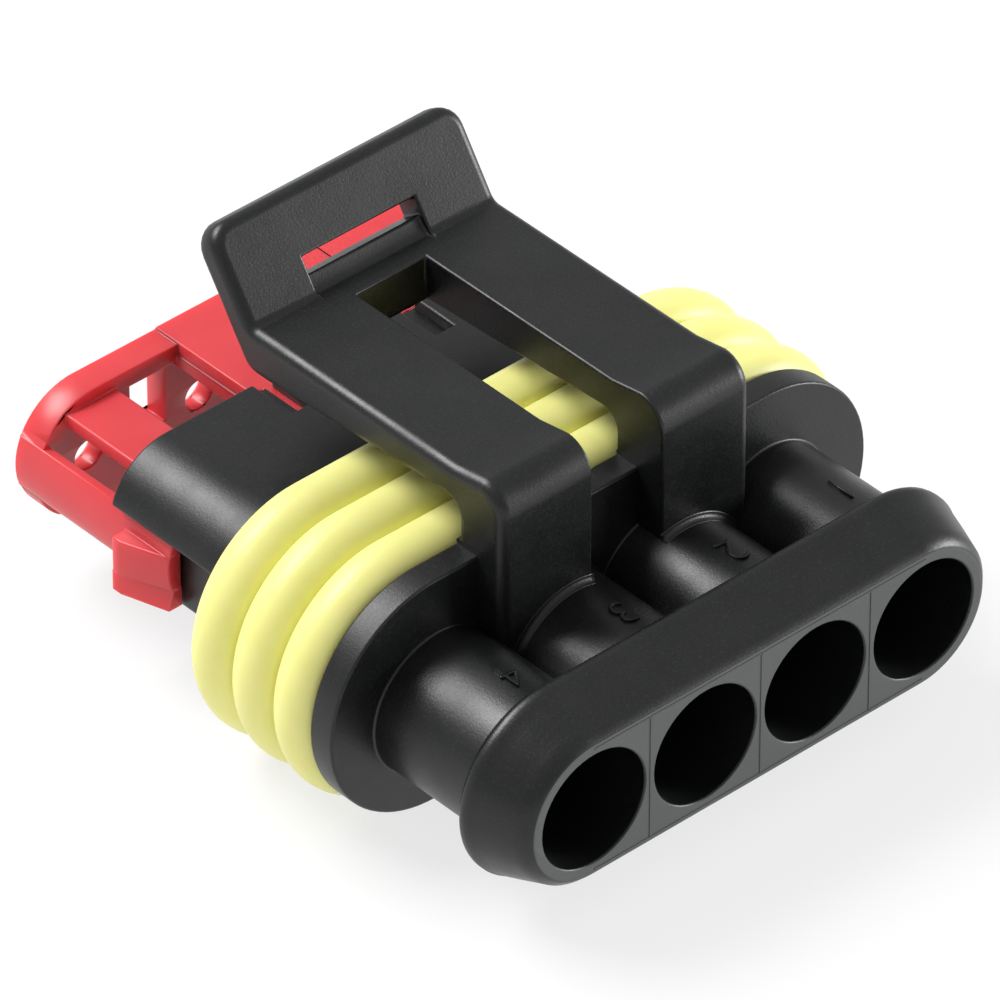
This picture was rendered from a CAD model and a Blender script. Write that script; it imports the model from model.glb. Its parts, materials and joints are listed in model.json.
import json
import math

import bmesh
import bpy
from mathutils import Matrix, Vector


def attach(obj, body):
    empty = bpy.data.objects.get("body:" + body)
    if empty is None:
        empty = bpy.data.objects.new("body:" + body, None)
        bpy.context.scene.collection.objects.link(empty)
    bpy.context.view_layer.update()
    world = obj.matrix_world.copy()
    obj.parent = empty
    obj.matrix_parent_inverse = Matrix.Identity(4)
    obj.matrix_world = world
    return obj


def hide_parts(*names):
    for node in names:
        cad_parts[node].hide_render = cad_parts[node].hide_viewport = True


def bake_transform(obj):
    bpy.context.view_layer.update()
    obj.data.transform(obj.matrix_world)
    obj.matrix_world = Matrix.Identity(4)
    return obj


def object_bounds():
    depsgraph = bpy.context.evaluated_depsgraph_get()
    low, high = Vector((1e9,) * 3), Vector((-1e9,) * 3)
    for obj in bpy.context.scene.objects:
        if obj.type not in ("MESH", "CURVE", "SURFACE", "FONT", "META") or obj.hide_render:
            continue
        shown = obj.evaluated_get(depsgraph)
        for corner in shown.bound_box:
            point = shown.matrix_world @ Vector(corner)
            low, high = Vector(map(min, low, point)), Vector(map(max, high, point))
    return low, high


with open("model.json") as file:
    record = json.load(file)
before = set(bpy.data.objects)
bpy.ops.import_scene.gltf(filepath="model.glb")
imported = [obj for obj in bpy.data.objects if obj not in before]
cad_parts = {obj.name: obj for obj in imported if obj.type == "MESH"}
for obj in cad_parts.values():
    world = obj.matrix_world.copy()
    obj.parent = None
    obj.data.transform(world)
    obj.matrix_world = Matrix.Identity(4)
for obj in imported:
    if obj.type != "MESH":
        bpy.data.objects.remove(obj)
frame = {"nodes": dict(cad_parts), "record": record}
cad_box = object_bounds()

# --- Camera -------------------------------------------------------------------------------------
# The connector lies on its seal, seen from above its wire side and from its low-numbered end.
# Lengths are in metres. Y counts from the rear face and Z from the middle of the row of cavities.
MM = 0.001
mounts = {m["name"]: m for m in frame["record"]["mounts"]}
cavities = [mounts[name] for name in sorted(mounts) if name.startswith("wire_cavity")]
cavity_x = [mount["pos_m"][0] for mount in cavities]
bore_r = cavities[0]["dims"]["r_mm"] * MM
rear_y = cad_box[0].y
row_z = cavities[0]["pos_m"][2]
yaw = math.radians(42.03)
pitch = math.radians(38.01)
view_distance = 479.7 * MM
shift_right, shift_up = 10.43 * MM, -8.53 * MM

right = Vector((math.cos(yaw), -math.sin(yaw), 0))
ahead = Vector((math.sin(yaw) * math.cos(pitch), math.cos(yaw) * math.cos(pitch), -math.sin(pitch)))
up = right.cross(ahead)
camera = bpy.data.objects.new("camera", bpy.data.cameras.new("camera"))
camera.data.lens = 432
camera.data.clip_end = 10
turn = Matrix((right, up, -ahead)).transposed().to_4x4()
origin = Vector((0, rear_y, row_z))
camera.matrix_world = Matrix.Translation(
    origin - right * shift_right - up * shift_up - ahead * view_distance) @ turn
bpy.context.scene.collection.objects.link(camera)
bpy.context.scene.camera = camera
bpy.context.scene.view_settings.view_transform = "Standard"


# --- Stage: white sweep and studio lights -------------------------------------------------------
# A white table that runs up into its own backdrop, lit by a large soft box behind the part,
# one low on the wire side, and an even white room.
class Socket:
    """A node's output. Sums and products with it add Math nodes."""

    def __init__(self, tree, link):
        self.tree, self.link = tree, link

    def maths(self, operation, first, second):
        node = self.tree.nodes.new("ShaderNodeMath")
        node.operation = operation
        for place, value in zip(node.inputs, (first, second)):
            if isinstance(value, Socket):
                self.tree.links.new(value.link, place)
            else:
                place.default_value = value
        return Socket(self.tree, node.outputs[0])

    def __add__(self, other):
        return self.maths("ADD", self, other)

    def __mul__(self, other):
        return self.maths("MULTIPLY", self, other)

    def __radd__(self, other):
        return self.maths("ADD", other, self)

    def __rmul__(self, other):
        return self.maths("MULTIPLY", other, self)


class Finish:
    """A material, or the world, and the nodes that make it."""

    def __init__(self, owner):
        owner.use_nodes = True
        self.owner, self.tree = owner, owner.node_tree
        self.tree.nodes.clear()

    def node(self, kind, settings=None, output=0, **sockets):
        """A new node's output. A socket is given by its name, or as i and its number."""
        node = self.tree.nodes.new("ShaderNode" + kind)
        for name, value in (settings or {}).items():
            if name == "stops":
                for stop, (position, colour) in zip(node.color_ramp.elements, value):
                    stop.position, stop.color = position, (*colour, 1)
            else:
                setattr(node, name, value)
        for name, value in sockets.items():
            found = [s for s in node.inputs if s.name.replace(" ", "_") == name and s.enabled]
            place = found[0] if found else node.inputs[int(name[1:])]
            if isinstance(value, Socket):
                self.tree.links.new(value.link, place)
            else:
                place.default_value = value
        return Socket(self.tree, node.outputs[output]) if len(node.outputs) else None

    def end(self, surface):
        """The finished material or world."""
        kind = "World" if isinstance(self.owner, bpy.types.World) else "Material"
        self.node("Output" + kind, Surface=surface)
        return self.owner


white = (1, 1, 1, 1)
world = bpy.data.worlds.new("room")
bpy.context.scene.world = world
room = Finish(world)
ambient = 0.5
room.end(room.node("Background", Color=white, Strength=ambient + (1 - ambient) * room.node("LightPath")))

table = Finish(bpy.data.materials.new("white_table"))
matt = table.node("BsdfDiffuse", Color=(0.9, 0.9, 0.9, 1))
glow = table.node("Emission", Color=white, Strength=1.0)
glow_share = 0.75 * table.node("LightPath") + table.node("LightPath", output=3)
table.end(table.node("MixShader", i0=glow_share, i1=matt, i2=glow))
table_half = 1.5
bpy.ops.mesh.primitive_plane_add(size=2 * table_half, location=(0, 0, cad_box[0].z))
floor = bpy.context.object
floor.name = "table"
floor.data.materials.append(table.owner)


def soft_box(name, place, target, width, height, power):
    """A rectangular lamp that faces its target."""
    lamp = bpy.data.lights.new(name, "AREA")
    lamp.shape, lamp.size, lamp.size_y, lamp.energy = "RECTANGLE", width, height, power
    stand = bpy.data.objects.new(name, lamp)
    stand.location = place
    stand.rotation_euler = (Vector(target) - Vector(place)).to_track_quat("-Z", "Y").to_euler()
    bpy.context.scene.collection.objects.link(stand)


soft_box("key", (-0.10, 0.22, 0.30), (0, 0, 0.01), 0.22, 0.16, 1.6)
soft_box("wire_side", (0.34, -0.20, 0.05), (0, 0, 0.006), 0.16, 0.10, 1.2)


# --- Rounded edges ------------------------------------------------------------------------------
# Every moulded piece has small radii on its edges, where the steel of the mould was eased.
# The solid's flat faces are made whole again, and then each hard edge is rolled over.
hard_angle = math.radians(32)
flat_angle = math.radians(0.3)
weld = 0.001 * MM
near = 0.005 * MM


def whole(node):
    """The mesh of a solid, with its flat faces in one piece each."""
    work = bmesh.new()
    work.from_mesh(frame["nodes"][node].data)
    bmesh.ops.remove_doubles(work, verts=work.verts, dist=weld)
    bmesh.ops.dissolve_limit(work, angle_limit=flat_angle, verts=work.verts, edges=work.edges)
    return work


def cut_level(work, height):
    """A line of vertices round a mesh at a height, along which it can bend."""
    bmesh.ops.bisect_plane(work, geom=work.verts[:] + work.edges[:] + work.faces[:], dist=near / 10,
                           plane_co=(0, 0, height), plane_no=(0, 0, 1))


def made(work, name, material):
    """An object from a mesh being built."""
    mesh = bpy.data.meshes.new(name)
    work.to_mesh(mesh)
    work.free()
    mesh.materials.append(material)
    piece = bpy.data.objects.new(name, mesh)
    bpy.context.scene.collection.objects.link(piece)
    return piece


def moulded(work, name, edge_r, material, share=lambda middle: 1.0, segments=2):
    """A piece from a mesh, whose hard edges get a share of edge_r, by where they are."""
    weight = work.edges.layers.float.new("bevel_weight_edge")
    for edge in work.edges:
        if len(edge.link_faces) == 2 and edge.calc_face_angle(0) > hard_angle:
            edge[weight] = share((edge.verts[0].co + edge.verts[1].co) / 2)
            edge.smooth = edge[weight] > 0
    piece = made(work, name, material)
    piece.data.shade_smooth()
    bevel = piece.modifiers.new("rounding", "BEVEL")
    bevel.width, bevel.segments, bevel.limit_method = edge_r, segments, "WEIGHT"
    bevel.use_clamp_overlap = False
    flat = piece.modifiers.new("flat_faces", "WEIGHTED_NORMAL")
    flat.weight, flat.keep_sharp = 100, True
    return piece


# --- Black housing ------------------------------------------------------------------------------
# One moulding of black nylon filled with short glass fibre: semi-matt, with a fine grain where
# the fibres lie under the skin and slow changes of gloss where the melt ran. The rear face is
# sparked matt. The feet of the latch's legs are part of the same shot, and go to its own mesh.
nylon = Finish(bpy.data.materials.new("black_nylon"))
place = nylon.node("TexCoord", output=3)
grain = nylon.node("TexNoise", Vector=place, Scale=9000.0, Detail=3.0, Roughness=0.6)
flow = nylon.node("TexNoise", Vector=place, Scale=420.0, Detail=4.0, Roughness=0.55)
fleck = nylon.node("ValToRGB", {"stops": [(0.56, (0, 0, 0)), (0.74, (1, 1, 1))]}, Fac=grain)
shade = nylon.node("Mix", {"data_type": "RGBA"}, 2, Factor=fleck * 0.5,
                   A=(0.005, 0.0055, 0.006, 1), B=(0.03, 0.031, 0.032, 1))
depth = nylon.node("SeparateXYZ", output=1, Vector=place)
matt = nylon.node("Math", {"operation": "LESS_THAN"}, i0=depth, i1=rear_y + 0.02 * MM)
shade = nylon.node("Mix", {"data_type": "RGBA"}, 2, Factor=matt * 0.5, A=shade, B=(0.16, 0.175, 0.17, 1))
gloss = 0.2 + 0.26 * flow + 0.12 * grain + 0.3 * matt
skin = nylon.node("Bump", Strength=0.4, Distance=0.02 * MM, Height=grain + flow)
black_nylon = nylon.end(nylon.node("BsdfPrincipled", Base_Color=shade, Roughness=gloss, Normal=skin))

leg_rear = rear_y + 7.95 * MM
flange_rear = rear_y + 9.4 * MM
foot_z = row_z + 6.02 * MM

# Thin ledges close the foot of the deck's two slots.
ledge_size = (0.7 * MM, 2.5 * MM, 0.07 * MM)
ledge_middle = Vector((4.1 * MM, rear_y + 24.5 * MM, row_z + 3.585 * MM))


def housing_share(middle):
    """Every edge is rounded but the ledges', which have no room for it."""
    aside = abs(abs(middle.x) - ledge_middle.x) < ledge_size[0]
    return 0.0 if aside and abs(middle.z - ledge_middle.z) < ledge_size[2] else 1.0


work = whole("housing")
for vert in work.verts:
    if abs(vert.co.y - leg_rear) < near:
        vert.co.y = flange_rear
bmesh.ops.remove_doubles(work, verts=work.verts, dist=near)
bmesh.ops.dissolve_degenerate(work, edges=work.edges, dist=near)
bmesh.ops.dissolve_limit(work, angle_limit=flat_angle, verts=work.verts, edges=work.edges)
for side in (-1, 1):
    ledge = bmesh.ops.create_cube(work, size=1)["verts"]
    bmesh.ops.scale(work, vec=ledge_size, verts=ledge)
    bmesh.ops.translate(work, vec=(side * ledge_middle.x, ledge_middle.y, ledge_middle.z), verts=ledge)
housing = moulded(work, "housing_moulding", 0.12 * MM, black_nylon, housing_share)
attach(housing, "housing")
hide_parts("housing")

# --- Leg roots ----------------------------------------------------------------------------------
# Small hollow fillets of the same nylon, where the flat rear of the legs stands on the two inner
# tubes. They are moulded with the housing, against polished steel that leaves a bright line.
tube_r = bore_r + 0.6 * MM
root_r = 0.3 * MM
root_sunk = 0.05 * MM
root_steps = 6
turn_steps = 24
pitch_half = abs(cavity_x[1] - cavity_x[0]) / 2
leg_inner = 1.9 * MM
work = bmesh.new()
for x in [x for x in cavity_x if abs(x) < 2 * pitch_half]:
    side = math.copysign(1, x)
    x0, x1 = leg_inner, abs(x) + pitch_half
    turn0, turn1 = math.asin((x0 - abs(x)) / tube_r), math.asin((x1 - abs(x)) / tube_r)
    rings = []
    for step in range(turn_steps + 1):
        turn = turn0 + (turn1 - turn0) * step / turn_steps
        profile = [(leg_rear + root_sunk, -root_sunk), (leg_rear - root_r, -root_sunk)]
        for bend in range(root_steps + 1):
            angle = math.pi / 2 * bend / root_steps
            profile.append((leg_rear - root_r * (1 - math.sin(angle)), root_r * (1 - math.cos(angle))))
        profile.append((leg_rear + root_sunk, root_r))
        rings.append([work.verts.new((side * (abs(x) + (tube_r + rise) * math.sin(turn)), y,
                                      row_z + (tube_r + rise) * math.cos(turn))) for y, rise in profile])
    for ring, following in zip(rings, rings[1:]):
        for spot in range(len(ring)):
            after = (spot + 1) % len(ring)
            work.faces.new([ring[spot], ring[after], following[after], following[spot]])
    work.faces.new(rings[0])
    work.faces.new(rings[-1])
for face in work.faces:
    face.smooth = len(face.verts) == 4
bmesh.ops.recalc_face_normals(work, faces=work.faces)
roots = made(work, "leg_roots", black_nylon)
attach(roots, "housing")

# --- Black latch --------------------------------------------------------------------------------
# The sprung frame with its thumb tab, of the housing's nylon and moulded with it. A side view is
# drawn out across the part and cut through for the window and the tab's slot. The legs run down
# to the tubes, and bend just above the flange when the tab is lifted.
latch_half_w = 6.75 * MM
window_half_w = 1.9 * MM
window_end = rear_y + 22.2 * MM
flange_front = rear_y + 10.7 * MM
latch_top = row_z + 9.55 * MM
arm_under, bar_under = latch_top - 1.6 * MM, latch_top - 2.2 * MM
crest = latch_top + 0.28 * MM
crest_end = leg_rear + 3.1 * MM
bend_r, inner_r = 1.4 * MM, 0.9 * MM
fold_y = rear_y + 23.2 * MM
fold_r, heel_r = 0.5 * MM, 1.05 * MM
tab_angle = math.radians(56)
tab_length, tab_thickness, tab_corner_r = 4.45 * MM, 1.45 * MM, 1.1 * MM
slot_half_w, slot_start, slot_end = 3.05 * MM, 0.85 * MM, 1.65 * MM
recess_depth, recess_reach, recess_lip = 0.28 * MM, 0.35 * MM, 0.52 * MM
flex_top = row_z + 7.2 * MM
flex_steps = 5
inside = 0.1 * MM
rounded_r, rounded_steps, eased_share = 0.5 * MM, 4, 0.25


def on_tab(climb, rise):
    """Y and Z of a point by its climb up the tab's face from the fold and its rise off the face."""
    return (fold_y + climb * math.cos(tab_angle) - rise * math.sin(tab_angle),
            latch_top + climb * math.sin(tab_angle) + rise * math.cos(tab_angle))


def arc(y, z, r, start, stop, steps=8):
    """Points round y, z from one angle in degrees to another."""
    angles = [math.radians(start + (stop - start) * step / steps) for step in range(steps + 1)]
    return [(y + r * math.cos(angle), z + r * math.sin(angle)) for angle in angles]


def prism(profile, x0, x1):
    """A profile of Y and Z, drawn out along X."""
    work = bmesh.new()
    face = work.faces.new([work.verts.new((x0, y, z)) for y, z in profile])
    for part in bmesh.ops.extrude_face_region(work, geom=[face])["geom"]:
        if isinstance(part, bmesh.types.BMVert):
            part.co.x = x1
    bmesh.ops.recalc_face_normals(work, faces=work.faces)
    return work


def trimmed(work, cutters):
    """The mesh of work with the cutters' volumes taken away."""
    objects = []
    for number, part in enumerate([work, *cutters]):
        mesh = bpy.data.meshes.new("blank")
        part.to_mesh(mesh)
        part.free()
        objects.append(bpy.data.objects.new(f"blank_{number}", mesh))
        bpy.context.scene.collection.objects.link(objects[-1])
    for cutter in objects[1:]:
        cut = objects[0].modifiers.new("cut", "BOOLEAN")
        cut.operation, cut.object, cut.solver = "DIFFERENCE", cutter, "EXACT"
    bpy.context.view_layer.update()
    seen_mesh = objects[0].evaluated_get(bpy.context.evaluated_depsgraph_get())
    result = bmesh.new()
    result.from_mesh(seen_mesh.to_mesh())
    for blank in objects:
        bpy.data.objects.remove(blank)
    return result


fold_reach = fold_r * math.tan(tab_angle / 2)
tilt = math.degrees(tab_angle) - 90
back_y, back_z = on_tab(0, -tab_thickness)
corner_y = back_y - (back_z - bar_under) / math.tan(tab_angle)
heel_reach = heel_r * math.tan(tab_angle / 2)
work = prism([
    (leg_rear, row_z),
    *arc(leg_rear + bend_r, crest - bend_r, bend_r, 180, 90),
    (crest_end, latch_top),
    *arc(fold_y - fold_reach, latch_top + fold_r, fold_r, -90, tilt, 5),
    on_tab(tab_length, 0),
    on_tab(tab_length, -tab_thickness),
    *arc(corner_y - heel_reach, bar_under + heel_r, heel_r, tilt, -90, 6),
    (window_end, bar_under),
    *arc(flange_front + inner_r, arm_under - inner_r, inner_r, 90, 180),
    (flange_front, foot_z + inside),
    (flange_front - inside, foot_z),
    (flange_front - inside, row_z)], -latch_half_w, latch_half_w)
tip_y, tip_z = on_tab(tab_length, -tab_thickness / 2)
tips = [edge for edge in work.edges if all(
    abs(vert.co.x) > window_half_w and math.hypot(vert.co.y - tip_y, vert.co.z - tip_z) < tab_thickness
    for vert in edge.verts) and abs(edge.verts[0].co.x - edge.verts[1].co.x) < near]
bmesh.ops.bevel(work, geom=tips, offset=tab_corner_r, segments=6, profile=0.5, affect="EDGES")
window = [(leg_rear - inner_r, row_z - inside), (window_end, row_z - inside),
          (window_end, crest + inner_r), (leg_rear - inner_r, crest + inner_r)]
slot = [on_tab(climb, rise) for climb, rise in (
    (slot_start, -2 * tab_thickness), (slot_end, -2 * tab_thickness), (slot_end, tab_thickness),
    (slot_start, tab_thickness))]
recess = [on_tab(climb, rise) for climb, rise in (
    (-recess_reach, recess_lip), (0, -recess_depth / 2), (recess_reach, -recess_depth),
    (slot_start + inside, -recess_depth), (slot_start + inside, tab_thickness),
    (-recess_reach, tab_thickness))]
work = trimmed(work, [prism(window, -window_half_w, window_half_w), prism(slot, -slot_half_w, slot_half_w),
                      prism(recess, -slot_half_w, slot_half_w)])
for step in range(flex_steps + 1):
    cut_level(work, foot_z + inside + (flex_top - foot_z - inside) * (step + 0.5) / flex_steps)


def latch_share(middle):
    """The outer edges that a hand meets are rounded, and the window and slot only eased."""
    climb = (middle.y - fold_y) * math.cos(tab_angle) + (middle.z - latch_top) * math.sin(tab_angle)
    on_rim = abs(middle.x) > latch_half_w - near or climb > tab_length - tab_corner_r
    if middle.z < row_z + near or middle.z < foot_z + 2 * inside and middle.y > leg_rear + near:
        return 0.0
    return 1.0 if on_rim else eased_share


latch = moulded(work, "latch_moulding", rounded_r, black_nylon, latch_share, rounded_steps)
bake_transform(latch)
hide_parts("latch_arm")

# --- Cavity numbers -----------------------------------------------------------------------------
# Raised figures on top of the tubes, of the same nylon. They are cut into the mould beside the
# collar, follow the round of the tube, and are read from the mating side.
figure_size = 2.1 * MM
figure_rise = 0.09 * MM
figure_y = rear_y + 6.1 * MM
figure_aside = 0.4 * MM
figure_thinned, figure_eased = -0.06 * MM, 0.04 * MM
for x, figure in zip(sorted(cavity_x), "4321"):
    letter = bpy.data.curves.new("figure_" + figure, "FONT")
    letter.body, letter.size, letter.align_x = figure, figure_size, "CENTER"
    letter.offset, letter.extrude, letter.bevel_depth = figure_thinned, figure_rise, figure_eased
    flat = bpy.data.objects.new("flat_" + figure, letter)
    mesh = bpy.data.meshes.new_from_object(flat)
    bpy.data.objects.remove(flat)
    for vert in mesh.vertices:
        across, along, rise = vert.co
        aside = figure_aside - across
        vert.co = (x + aside, figure_y - along, row_z + math.sqrt(tube_r ** 2 - aside ** 2) + rise)
    mesh.materials.append(black_nylon)
    raised = bpy.data.objects.new("cavity_figure_" + figure, mesh)
    bpy.context.scene.collection.objects.link(raised)
    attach(raised, "housing")

# --- Insert lines -------------------------------------------------------------------------------
# Hairline ridges of nylon on the rear face, where the melt crept between the blocks of the mould
# that carry the core pins: one between neighbouring pins, and one along each end of the blocks.
line_w = 0.06 * MM
line_rise = 0.03 * MM
block_half = bore_r + 0.35 * MM
ridges = bmesh.new()


def ridge(x0, z0, x1, z1):
    """A low bar, half sunk in the rear face."""
    corners = [(x, rear_y - line_rise, z) for x, z in ((x0, z0), (x1, z0), (x1, z1), (x0, z1))]
    front = ridges.faces.new([ridges.verts.new(corner) for corner in corners])
    grown = bmesh.ops.extrude_face_region(ridges, geom=[front])["geom"]
    for vert in grown:
        if isinstance(vert, bmesh.types.BMVert):
            vert.co.y += 2 * line_rise


row = sorted(cavity_x)
for left, right_hand in zip(row, row[1:]):
    middle = (left + right_hand) / 2
    ridge(middle - line_w / 2, row_z - block_half, middle + line_w / 2, row_z + block_half)
for z in (row_z - block_half, row_z + block_half):
    ridge(row[0], z - line_w / 2, row[-1], z + line_w / 2)
bmesh.ops.recalc_face_normals(ridges, faces=ridges.faces)
lines = made(ridges, "insert_lines", black_nylon)
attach(lines, "housing")

# --- Yellow interface seal ----------------------------------------------------------------------
# A moulded ring of soft, slightly cloudy silicone rubber with three lobes. It is stretched over
# the nose from the front, and grips its seat against the flange.
silicone = Finish(bpy.data.materials.new("yellow_silicone"))
place = silicone.node("TexCoord", output=3)
cloud = silicone.node("TexNoise", Vector=place, Scale=600.0, Detail=3.0)
tint = silicone.node("Mix", {"data_type": "RGBA"}, 2, Factor=cloud,
                     A=(0.78, 0.76, 0.23, 1), B=(0.86, 0.84, 0.32, 1))
dust = silicone.node("TexNoise", Vector=place, Scale=7000.0, Detail=2.0)
skin = silicone.node("Bump", Strength=0.1, Distance=0.02 * MM, Height=dust)
yellow_silicone = silicone.end(silicone.node(
    "BsdfPrincipled", Base_Color=tint, Roughness=0.36 + 0.14 * cloud, Normal=skin,
    Subsurface_Weight=0.25, Subsurface_Scale=0.6 * MM))
seal = moulded(whole("interface_seal"), "seal_ring", 0.05 * MM, yellow_silicone)
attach(seal, "housing")
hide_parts("interface_seal")

# --- Red secondary lock -------------------------------------------------------------------------
# A thin moulding of red, slightly translucent plastic that slides into the nose and backs up the
# terminals' own locks. The barbed catches on its two side arms hold it to the housing. The arms'
# sides follow the round of the rim.
polymer = Finish(bpy.data.materials.new("red_polymer"))
place = polymer.node("TexCoord", output=3)
cloud = polymer.node("TexNoise", Vector=place, Scale=500.0, Detail=3.0)
tint = polymer.node("Mix", {"data_type": "RGBA"}, 2, Factor=cloud,
                    A=(0.60, 0.035, 0.045, 1), B=(0.70, 0.06, 0.07, 1))
skin = polymer.node("Bump", Strength=0.1, Distance=0.02 * MM, Height=cloud)
red_polymer = polymer.end(polymer.node(
    "BsdfPrincipled", Base_Color=tint, Roughness=0.3 + 0.12 * cloud, Normal=skin,
    Subsurface_Weight=0.6, Subsurface_Radius=(1, 0.3, 0.25), Subsurface_Scale=1.2 * MM))
lock_side = 11.95 * MM
side_top, side_bottom = row_z + 1.7 * MM, row_z - 1.0 * MM
side_middle = row_z + 0.25 * MM
upper_r = 3.2 * MM
under_in, under_down = 0.45 * MM, side_middle - side_bottom
side_cuts = 12
rim_inner = 10.4 * MM
sharp_above, sharp_below = side_top + 0.7 * MM, side_bottom + 0.3 * MM


def side_x(z):
    """Half width of the lock at a height: an arc of the rim's own radius, drawn in faster below."""
    if z > side_middle:
        return lock_side - upper_r + math.sqrt(upper_r ** 2 - (z - side_middle) ** 2)
    fall = min((side_middle - z) / under_down, 1)
    return lock_side - under_in + under_in * math.sqrt(1 - fall ** 2)


work = whole("secondary_lock")
lock_front = max(vert.co.y for vert in work.verts)
for cut in range(side_cuts):
    cut_level(work, side_bottom + (side_top - side_bottom) * (cut + 0.5) / side_cuts)
for vert in work.verts:
    if abs(abs(vert.co.x) - lock_side) < near and side_bottom - near < vert.co.z < side_top + near:
        vert.co.x = math.copysign(side_x(vert.co.z), vert.co.x)


def lock_share(middle):
    """The rim's thin ends, behind its front edge, and the arms' lower edges are left sharp."""
    on_end = side_top - near < middle.z < sharp_above and middle.y < lock_front - near
    beside = abs(middle.x) > rim_inner
    return 0.0 if beside and (on_end or middle.z < sharp_below) else 1.0


lock = moulded(work, "lock_moulding", 0.08 * MM, red_polymer, lock_share)
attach(lock, "lock")
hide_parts("secondary_lock")
